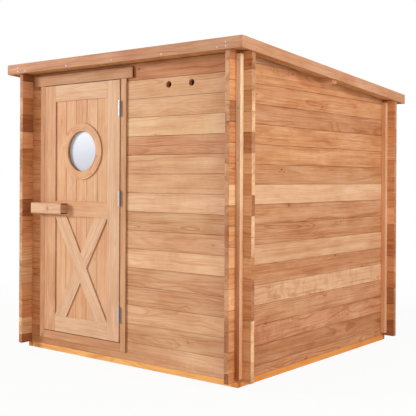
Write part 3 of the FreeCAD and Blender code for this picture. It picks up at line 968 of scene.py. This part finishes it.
deck_thickness, deck_count, deck_gap = 0.020, 23, 0.0006
deck = Stack()
for near, far in strips(deck_low[0], deck_high[0], deck_count):
    deck.box("ceiling", (near + deck_gap / 2, deck_low[1], 0),
             (far - deck_gap / 2, deck_high[1], deck_thickness), "deck", (0.8, 0.0, 0.6), ease=0.0028,
             shape=hung)
deck.piece("roof_deck", *IN_ROOF, "roof_boards")

purlin_depth, purlin_tip = 0.036, 0.004  # the tip is the end grain's darker stretch, partly painted shade
purlin_low, purlin_high = corners("roof_purlin")
purlin_length = purlin_high[0] - purlin_low[0]
purlin = Stack()
# The purlin's ends are painted darker and its body lighter: painted shade on the lit end grain, painted light
# on the face in the roof's shade.
purlin.box("front", (*purlin_low[:2], -purlin_depth), (*purlin_high[:2], 0),
           [(0, "dusk"), (purlin_tip, "honey"), (purlin_length - purlin_tip, "honey"), (purlin_length, "dusk")],
           PLAIN, ease=0.002, shape=hung)
purlin.piece("purlin", *IN_ROOF, "roof_purlin")

fascia_drop, fascia_top = 0.012, 0.060  # below and above the soffit
nail_room = 0.002  # the boards stand back by this much, so that nail heads stay in the roof's size
roof_low = corners("side_fascias")[0] + nail_room
roof_high = np.maximum(corners("side_fascias")[1], corners("back_fascia")[1]) - nail_room
fascia_nodes = {"front_fascia": ("front",), "back_fascia": ("back",), "side_fascias": ("left", "right")}
fascias = Stack()
for node, ways in fascia_nodes.items():
    for (low, high), way in zip(solids(node), ways):
        low, high = np.maximum(low, roof_low), np.minimum(high, roof_high)
        fascias.box(way, (*low[:2], -fascia_drop), (*high[:2], fascia_top),
                    "rosy" if way == "front" else "fascia", (0.6, 0.0, 0.3), ease=0.0016, shape=hung)
fascias.piece("fascia_boards", door_timber, "cabin", "fascia_timber", *fascia_nodes)

# %% [markdown]
# Mineral felt covers the roof in strips that run across the slope. Each upper strip laps over the
# one below it, and rises by the felt's thickness where it does: a smooth step in its height.

# %% Felt strips
felt_thickness = 0.0023
felt_lap, felt_climb = 0.08, 0.04  # how far a strip laps, and over what length it climbs
felt_base = 0.056  # height above the soffit
felt_margin = 0.001  # it stops this far inside the deck's sides
felt_air = 0.0004  # left open in a lap, and the height of its waves
felt_joint = 0.001  # taken off each strip, half at either end


def felt_strip(near, far, lapped):
    """A thin sheet between two depths; before its lap it climbs by its own thickness."""
    foot = far - felt_lap - felt_climb * 0.75
    y = np.concatenate([[near], np.linspace(foot, foot + felt_climb, 7), [far]])
    rise = np.clip((y - foot) / felt_climb, 0, 1)
    rise = rise * rise * (3 - 2 * rise) * (felt_thickness + felt_air) * lapped
    x = np.linspace(deck_low[0] + felt_margin, deck_high[0] - felt_margin, 24)
    wave = felt_air * np.sin(x * 5.3 + near * 9)[None, :] * np.sin(y * 7.1)[:, None]
    height = felt_base + rise[:, None] + np.abs(wave)
    across, depth = np.meshgrid(x, y)
    return slab(*(np.stack([across, depth, level], axis=-1) for level in (height, height + felt_thickness)))


felt = Stack()
for (near, far), lapped in zip(strips(deck_low[1], deck_high[1], 3), (1, 1, 0)):
    strip = felt_strip(near + felt_joint / 2, far + felt_lap * lapped - felt_joint / 2, lapped)
    felt.add(strip, np.eye(3), (0, 0, 0), "felt", shape=hung)
felt.piece("roof_felt_strips", felt_material, "cabin", "felt", "roof_felt")

# %% [markdown]
# ## The door
# The frame is three kinds of board: linings in the wall, casings nailed over its face and stops
# that the leaf closes near.

# %% Door frame
left_jamb, right_jamb = solids("door_jambs")
head_low, head_high = corners("door_head")
sill_low, sill_high = corners("door_threshold")
casing_face, casing_foot = left_jamb[0][1:]
casing_top = left_jamb[1][2]
stop_lap = 0.012  # how far a stop reaches over the opening
stop_depth = 0.030  # from the casings' face to the stops'
stop_face = casing_face + stop_depth
dark_tip = 0.002  # stretch of the head casing's right end that is dark


def shaded_end(points):
    """The head casing is a little paler than the jambs, and the tip of its right end carries a painted shadow.
    """
    end = np.clip((points[:, :1] - head_high[0]) / dark_tip + 1, 0, 1)
    return (1.02, 1.1, 1.11) * (1 - end * (0.55, 0.65, 0.7))


frame_trim = Stack()
for casing_edge, inner, lining_edge, side in (
        (left_jamb[0][0], sill_low[0], frame_left, -1), (right_jamb[1][0], sill_high[0], frame_right, 1)):
    for ends_x, (y0, y1), foot in (((inner, casing_edge), (casing_face, front_face), casing_foot),
                                   ((inner, lining_edge), (front_face, wall_inside), frame_foot),
                                   ((inner - side * stop_lap, inner), (stop_face, wall_inside), frame_foot)):
        frame_trim.box("upright", (min(ends_x), y0, foot), (max(ends_x), y1, casing_top),
                       "jamb" if side < 0 else "tan", PLAIN)
sill_span = sill_low[0], sill_high[0]
stop_span = sill_low[0] + stop_lap, sill_high[0] - stop_lap
for (x0, x1), (y0, y1), (z0, z1) in (
        ((head_low[0], head_high[0]), (head_low[1], front_face), (casing_top, head_high[2])),
        ((frame_left, frame_right), (front_face, wall_inside), (casing_top, frame_head)),
        (stop_span, (stop_face, wall_inside), (head_low[2], casing_top)),
        (sill_span, (casing_face, front_face), (sill_low[2], sill_high[2])),
        (sill_span, (front_face, stop_face), (frame_foot, sill_high[2])),
        (stop_span, (stop_face, wall_inside), (frame_foot, sill_high[2]))):
    frame_trim.box("front", (x0, y0, z0), (x1, y1, z1), "jamb", PLAIN,
                   weather=shaded_end if x1 == head_high[0] else None)
frame_trim.piece("door_frame_boards", door_timber, "cabin", "door_timber", "door_jambs", "door_head",
                 "door_threshold")

# %% [markdown]
# A black rubber strip lies in the gap under, over and to the left of the leaf, a millimetre clear of it:
# partly a seal and partly painted shade, a dark sheet that makes the gaps read as deep shadow.

# %% Seal round the leaf, painted shade in the gaps
shade_seal_gap = 0.001
leaf_edges = np.array([corners("door_stiles"), corners("door_rails")])
leaf_box = np.array([leaf_edges[:, 0].min(0), leaf_edges[:, 1].max(0)])
shade_seal_front, shade_seal_back = leaf_box[0][1] + 0.004, leaf_box[1][1] - 0.002
(leaf_left, _, leaf_foot), (_, _, leaf_head) = leaf_box
shade_seal = Stack()
for way, (x0, x1), (z0, z1) in (("front", sill_span, (sill_high[2], leaf_foot - shade_seal_gap)),
                                ("front", sill_span, (leaf_head + shade_seal_gap, casing_top)),
                                ("upright", (sill_low[0], leaf_left - shade_seal_gap), (leaf_foot, leaf_head))):
    shade_seal.box(way, (x0, shade_seal_front, z0), (x1, shade_seal_back, z1), "felt", ease=0.0008)
shade_seal.piece("door_seal", shade_seal_rubber, "cabin", None)

# %% [markdown]
# The leaf has two stiles, three rails between them, and boarded panels let into them.

# %% Door leaf: stiles and rails
leaf_low, leaf_high = corners("door_stiles")
stile_width = solids("door_stiles")[0][1][0] - leaf_low[0]
panel_left = leaf_low[0] + stile_width
panel_right = leaf_high[0] - stile_width
leaf_frame = Stack()
for (low, high), tone in zip(solids("door_stiles"), ("tan", "door")):
    leaf_frame.box("upright", low, high, tone, PLAIN, ease=0.0012)
for (low, high), tone in zip(solids("door_rails"), ("door", "peach", "door")):
    leaf_frame.box("front", (panel_left, leaf_low[1], low[2]), (panel_right, leaf_high[1], high[2]),
                   tone, PLAIN, ease=0.0012)
leaf_frame.piece("leaf_frame", *IN_LEAF, "door_stiles", "door_rails")

# %% [markdown]
# The panels are upright boards with V joints. Where the window crosses a board it is made in two
# lengths, and the end of each is bent to the circle.

# %% Door leaf: boarded panels
panels = solids("door_panels")
glass_low, glass_high = corners("porthole_glass")
hole_x, _, hole_z = (glass_low + glass_high) / 2
hole_radius = 0.1445
board_count, board_groove, panel_tongue = 5, 0.004, 0.010


def curved_end(z0, z1, side):
    """Stretches a board so that one end follows the glass: half a chord above or below its middle."""
    def bend(points):
        """Shares out each point's height between the straight end and the circle."""
        chord = np.sqrt(np.clip(hole_radius ** 2 - (points[:, 0] - hole_x) ** 2, 0, None))
        foot, head = (z0, hole_z - chord) if side < 0 else (hole_z + chord, z1)
        moved = points.copy()
        moved[:, 2] = foot + (points[:, 2] - z0) / (z1 - z0) * (head - foot)
        return moved
    return bend


def painted_groove_shade(points):
    """A groove carries painted shade: darker than the face, in step with its depth."""
    return 1 - np.clip((points[:, 1:2] - panels[0][0][1]) / board_groove, 0, 1) * (0.35, 0.5, 0.6)


boards = Stack()
for low, high in panels:
    for number, (x0, x1) in enumerate(strips(panel_left, panel_right, board_count)):
        x0 = panel_left - panel_tongue if number == 0 else x0
        x1 = panel_right + panel_tongue if number == board_count - 1 else x1
        across = np.linspace(x0 + board_groove, x1 - board_groove, 14)[1:-1]
        spans = [(low[2], high[2], None)]
        if low[2] < hole_z < high[2] and abs(max(x0, min(hole_x, x1)) - hole_x) < hole_radius:
            spans = [(z0, z1, curved_end(z0, z1, side))
                     for z0, z1, side in ((low[2], hole_z, -1), (hole_z, high[2], 1))]
        tone = str(rng.choice(("sand", "sand", "peach")))
        for z0, z1, bend in spans:
            board = timber(z1 - z0, high[1] - low[1], 0.0, x1 - x0, ease=board_groove, rows=x1 - across[::-1])
            boards.add(board, AXES["upright"], (x1, low[1], z0), tone, PLAIN, bend, weather=painted_groove_shade)
boards.piece("leaf_panels", *IN_LEAF, "door_panels")

# %% [markdown]
# One brace runs whole from corner to corner. The other is two lengths that are cut against it, so
# each of its rows ends where that row meets the whole brace.

# %% Door leaf: braces
brace_low, brace_high = corners("door_long_brace")
brace_width = 0.121
brace_span, brace_thickness, brace_drop = brace_high - brace_low
brace_run = (brace_span - brace_width) / brace_drop
centre = (brace_low + brace_high) / 2


def leaning(points):
    """Slides points sideways in step with their drop below the brace's top."""
    moved = points.copy()
    moved[:, 0] += brace_run * (brace_high[2] - points[:, 2])
    return moved


def mitred(points):
    """The upper short length: each row's drop is scaled to end on the whole brace's edge."""
    from_left = points[:, 0] - (brace_high[0] - brace_width)
    reach = (brace_span - 2 * brace_width + from_left) / (2 * brace_run)
    drop = (brace_high[2] - points[:, 2]) * reach / brace_drop
    moved = points.copy()
    moved[:, 2] = brace_high[2] - drop
    moved[:, 0] -= brace_run * drop
    return moved


def half_turn(points):
    """The lower short length is the upper one, turned half round the crossing."""
    moved = mitred(points)
    moved[:, [0, 2]] = 2 * centre[[0, 2]] - moved[:, [0, 2]]
    return moved


along_long = np.array([brace_run, 0, -1]) / math.hypot(brace_run, 1)
along_short = along_long * (-1, 1, 1)
braces = Stack()
for shape, right_edge, along in ((leaning, brace_low[0] + brace_width, along_long),
                                 (mitred, brace_high[0], along_short), (half_turn, brace_high[0], along_short)):
    board = timber(brace_drop, brace_thickness, 0.0, brace_width)
    braces.add(board, AXES["upright"], (right_edge, *brace_low[1:]), "door", PLAIN, shape, along)
braces.piece("leaf_braces", *IN_LEAF, "door_long_brace", "door_short_braces")

# %% [markdown]
# The window's ring is built up from eight sawn segments, as a round frame is: each has straight
# grain along its own chord, so the grain turns from segment to segment.

# %% Porthole rings
segment_count = 8
first_joint = 0.2  # angle of the first joint, radians from the top


def ring(stack, inner, outer, face_y, back_y, tone, ease):
    """Eight segments; a board's length becomes an angle and its width a radius."""
    middle = (inner + outer) / 2
    wedge = 2 * np.pi / segment_count
    board = timber(middle * wedge, back_y - face_y, inner, outer, np.linspace(0, middle * wedge, 10)[1:-1],
                   ease, facets=3)
    for number in range(segment_count):
        start = number * wedge + first_joint

        def bend(points):
            """Rolls the segment up: its angle is the length over the middle radius."""
            angle = start + points[:, 0] / middle
            return np.stack([hole_x + points[:, 2] * np.sin(angle), points[:, 1],
                             hole_z + points[:, 2] * np.cos(angle)], axis=1)

        along = np.array([math.cos(start + wedge / 2), 0, -math.sin(start + wedge / 2)])
        stack.add(board, np.eye(3), (0, face_y, 0), tone, (0.7, 0.0, 0.2), bend, along)


outer_low, outer_high = corners("porthole_outer_ring")
inner_low, inner_high = corners("porthole_inner_ring")
outer_radius, inner_radius = (outer_high[0] - outer_low[0]) / 2, (inner_high[0] - inner_low[0]) / 2
glass_play = 0.0005
glass_radius = (glass_high[0] - glass_low[0]) / 2 + glass_play
rings = Stack()
ring(rings, hole_radius, outer_radius, outer_low[1], outer_high[1], "peach", 0.0015)
rings.piece("porthole_front_ring", *IN_LEAF, "porthole_outer_ring")
rings = Stack()
ring(rings, glass_radius, inner_radius, inner_low[1], glass_high[1], "door", 0.001)
ring(rings, hole_radius, inner_radius, glass_high[1], inner_high[1], "door", 0.001)
rings.piece("porthole_back_ring", *IN_LEAF, "porthole_inner_ring")

# %% [markdown]
# The pull is one block with well rounded edges. It is cut into many cells, so that a knot can be
# coloured on its front and painted shade laid on its right end.

# %% Door pull
pull_low, pull_high = corners("door_pull")
pull_knot = pull_low + (0.191, 0, 0.043)
knot_size = (0.015, 0.030)  # half its width and half its height
pull_end = 0.006


def knot_and_end_shade(points):
    """A diamond knot on the front, by the sum of the two distances from its middle; painted shade on the right
    end.
    """
    reach = np.abs(points[:, [0, 2]] - pull_knot[[0, 2]]) / knot_size
    knot = np.clip(1.25 - reach.sum(1), 0, 1) * (points[:, 1] < pull_low[1] + pull_end)
    end = np.clip((points[:, 0] - pull_high[0]) / pull_end + 1, 0, 1)
    return 1 - np.outer(knot, (0.34, 0.52, 0.60)) - np.outer(end, (0.02, 0.15, 0.22))


pull = Stack()
pull.box("front", pull_low, pull_high, "door", (0.5, 0.0, 0.2), ease=0.005, facets=5, weather=knot_and_end_shade,
         cells=(84, 20))
pull.piece("pull_block", *IN_LEAF, "door_pull")

# %% [markdown]
# Four nodes of the CAD are seen as they are, and only take a material.

# %% Metal and glass on the CAD nodes
glass = glass_finish(hole_z - hole_radius, hole_z + hole_radius)
for node, material in (("hinge_frame_halves", steel), ("hinge_leaf_halves", steel), ("porthole_glass", glass),
                       ("roof_core", insulation)):
    frame["nodes"][node].data.materials.clear()
    frame["nodes"][node].data.materials.append(material)
    print(node, "takes", material.name)

# %% [markdown]
# Nail and screw heads are small domes: a rounded profile turned round its own axis. All the heads
# of a kind are one mesh, made by adding every place to the same ring of points.

# %% Nail and screw heads
HEAD_SIDES = 12
HEAD_RISE = np.array([-0.6, 0.0, 0.22, 0.34])  # the dome's profile, in radii
HEAD_SPREAD = np.array([0.9, 1.0, 0.8, 0.42])


def heads(name, places, way, radius, material):
    """Domes of one radius at each place, facing a level way: rings of points, capped at both ends."""
    way = np.asarray(way, float)
    side = np.cross(way, WAYS["z"])
    angle = np.linspace(0, 2 * np.pi, HEAD_SIDES, endpoint=False)[:, None]
    circle = np.cos(angle) * side + np.sin(angle) * np.cross(way, side)
    dome = (HEAD_SPREAD[:, None, None] * circle + HEAD_RISE[:, None, None] * way).reshape(-1, 3) * radius
    loops = np.arange(len(dome)).reshape(-1, HEAD_SIDES)
    after = np.roll(loops, -1, axis=1)
    sides = quads(loops[:-1], after[:-1], after[1:], loops[1:])
    caps = np.stack([loops[-1], loops[0][::-1]])
    first = np.arange(len(places))[:, None, None] * len(dome)
    mesh = new_mesh(name, (np.array(places)[:, None] + dome).reshape(-1, 3),
                    (sides + first).reshape(-1, 4), (caps + first).reshape(-1, HEAD_SIDES))
    finished(name, mesh, material, "cabin")
    print(f"{name}: {len(places)} heads")


nail_radius, small_nail_radius, screw_radius = 0.0045, 0.0022, 0.0032
nail_rise = 0.004
nail_pair = (nail_rise, 0.030)  # heights above the soffit where two nails hold a joint
front_single, front_pairs = np.linspace(-0.895, 0.915, 5), (-0.98, 0.98)  # places along the fascias
side_single, side_pairs = np.linspace(-0.45, 1.03, 4), (-1.092, -0.964, -0.893)
front_y = roof_low[1]
places = [(x, front_y, soffit(front_y) + nail_rise) for x in front_single]
places += [(x, front_y, soffit(front_y) + rise) for x in front_pairs for rise in nail_pair]
heads("front_fascia_nails", places, (0, -1, 0), nail_radius, steel)
for side, x in (("left", roof_low[0]), ("right", roof_high[0])):
    places = [(x, y, soffit(y) + rise) for y in side_pairs for rise in nail_pair]
    places += [(x, y, soffit(y) + nail_rise) for y in side_single]
    heads(f"{side}_fascia_nails", places, (math.copysign(1, x), 0, 0), small_nail_radius, dark_steel)

# %% [markdown]
# The front battens are screwed from the front, with one screw more at the top, and the back
# battens from the side.

# %% Batten screws
screw_heights = (0.08, 0.93, 1.393, 1.708)
top_screw = 2.0
for low, high in solids("corner_battens"):
    (x, y, _), side = (low + high) / 2, math.copysign(1, low[0])
    name = f"{'left' if side < 0 else 'right'}_{'front' if y < 0 else 'back'}_batten_screws"
    if y < 0:
        places = [(x, low[1], z) for z in (*screw_heights, top_screw)]
        heads(name, places, (0, -1, 0), screw_radius, dark_steel)
    else:
        face = high[0] if side > 0 else low[0]
        heads(name, [(face, y, z) for z in screw_heights], (side, 0, 0), screw_radius, dark_steel)

# %% [markdown]
# ## The stage
# The floor and the world are white to the camera, and plain lamps light the cabin. A ray that comes
# from the camera, or by way of a mirror, sees the white; all other light is weaker.

# %% Floor, world and lamps
def axes_at(x, y, z, place):
    """The matrix that gives an object these axes at this place."""
    return Matrix(np.vstack([np.column_stack([x, y, z, place]), [0, 0, 0, 1]]).tolist())


def area_lamp(name, place, aim, size, watts):
    """A round lamp at a place, turned towards its aim."""
    data = bpy.data.lights.new(name, "AREA")
    data.shape, data.size, data.energy = "DISK", size, watts
    place = np.array(place, float)
    away = (place - aim) / np.linalg.norm(place - aim)
    side = np.cross((0, 0, 1), away)
    side /= np.linalg.norm(side)
    placed(name, data).matrix_world = axes_at(side, np.cross(away, side), away, place)
    print(f"{name}: {watts} W, {size} m wide")


def seen_by(tree, first, *others):
    """One for the kinds of ray named, and nothing for the rest."""
    seen = path = add(tree, "ShaderNodeLightPath", output=first)
    for kind in others:
        seen = seen.calc("MAXIMUM", path.other(kind))
    return seen


area_lamp("key lamp", (-10.4, -9.3, 4.4), (-0.2, -0.9, 1.0), 3.6, 1350.0)
area_lamp("side lamp", (6.8, -0.45, 3.2), (0.9, -0.2, 1.0), 2.8, 205.0)

floor_radius, floor_sides = 30.0, 64
turn = np.linspace(0, 2 * np.pi, floor_sides, endpoint=False)
disc = np.stack([floor_radius * np.cos(turn), floor_radius * np.sin(turn), 0 * turn], axis=1)
floor_mesh = new_mesh("floor", disc, np.arange(floor_sides)[None])
floor = placed("floor", floor_mesh)
floor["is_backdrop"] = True
material, tree, shader = new_material("studio floor")
feed(tree, shader, {"Base Color": (0.8, 0.8, 0.8, 1), "Roughness": 0.9})
glow = add(tree, "ShaderNodeEmission", {"Color": (1, 1, 1, 1), "Strength": 1.0})
outward = object_place(tree).vec("LENGTH").remap(1.8, 5.5, 0.93, 1.0)
factor = seen_by(tree, "Is Camera Ray", "Is Glossy Ray") * outward
blend = add(tree, "ShaderNodeMixShader", {0: factor, 1: Signal(tree, shader.outputs[0]), 2: glow})
feed(tree, tree.nodes["Material Output"], {"Surface": blend})
floor_mesh.materials.append(material)

world = bpy.data.worlds.new("studio")
bpy.context.scene.world = world
world.use_nodes = True
tree = world.node_tree
seen = seen_by(tree, "Is Camera Ray", "Is Glossy Ray", "Is Transmission Ray")
strength = add(tree, "ShaderNodeMapRange", {"Value": seen, "To Min": 0.53, "To Max": 1.0})
feed(tree, tree.nodes["Background"], {"Color": (1, 1, 1, 1), "Strength": strength})

# %% [markdown]
# The camera was solved from the photo's edges. It looks level, and the picture's horizon is put
# where the photo has it by a shift and not by a tilt, so that upright edges stay parallel.

# %% The camera
camera_place = np.array([3.92387, -4.96836, 1.27938])
camera_yaw, camera_roll = math.radians(38.545), math.radians(0.281)
focal_pixels, horizon_pixel, picture = 809.507, 178.654, 416
sensor = 36.0  # millimetres
ahead = np.array([-math.sin(camera_yaw), math.cos(camera_yaw), 0.0])
right = np.array([math.cos(camera_yaw), math.sin(camera_yaw), 0.0])
upward = np.array([0.0, 0.0, 1.0])
rolled_right = right * math.cos(camera_roll) + upward * math.sin(camera_roll)
rolled_up = upward * math.cos(camera_roll) - right * math.sin(camera_roll)
camera = placed("camera", bpy.data.cameras.new("camera"))
camera.matrix_world = axes_at(rolled_right, rolled_up, -ahead, camera_place)
camera.data.sensor_width = sensor
camera.data.lens = sensor * focal_pixels / picture
camera.data.shift_y = (horizon_pixel - picture / 2) / picture
bpy.context.scene.camera = camera
bpy.context.scene.view_settings.view_transform = "Standard"
print(f"lens {camera.data.lens:.1f} mm, shift {camera.data.shift_y:.4f}")

# %% Finish
low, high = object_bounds()
print("dressed box", [round(value, 3) for value in (*low, *high)])
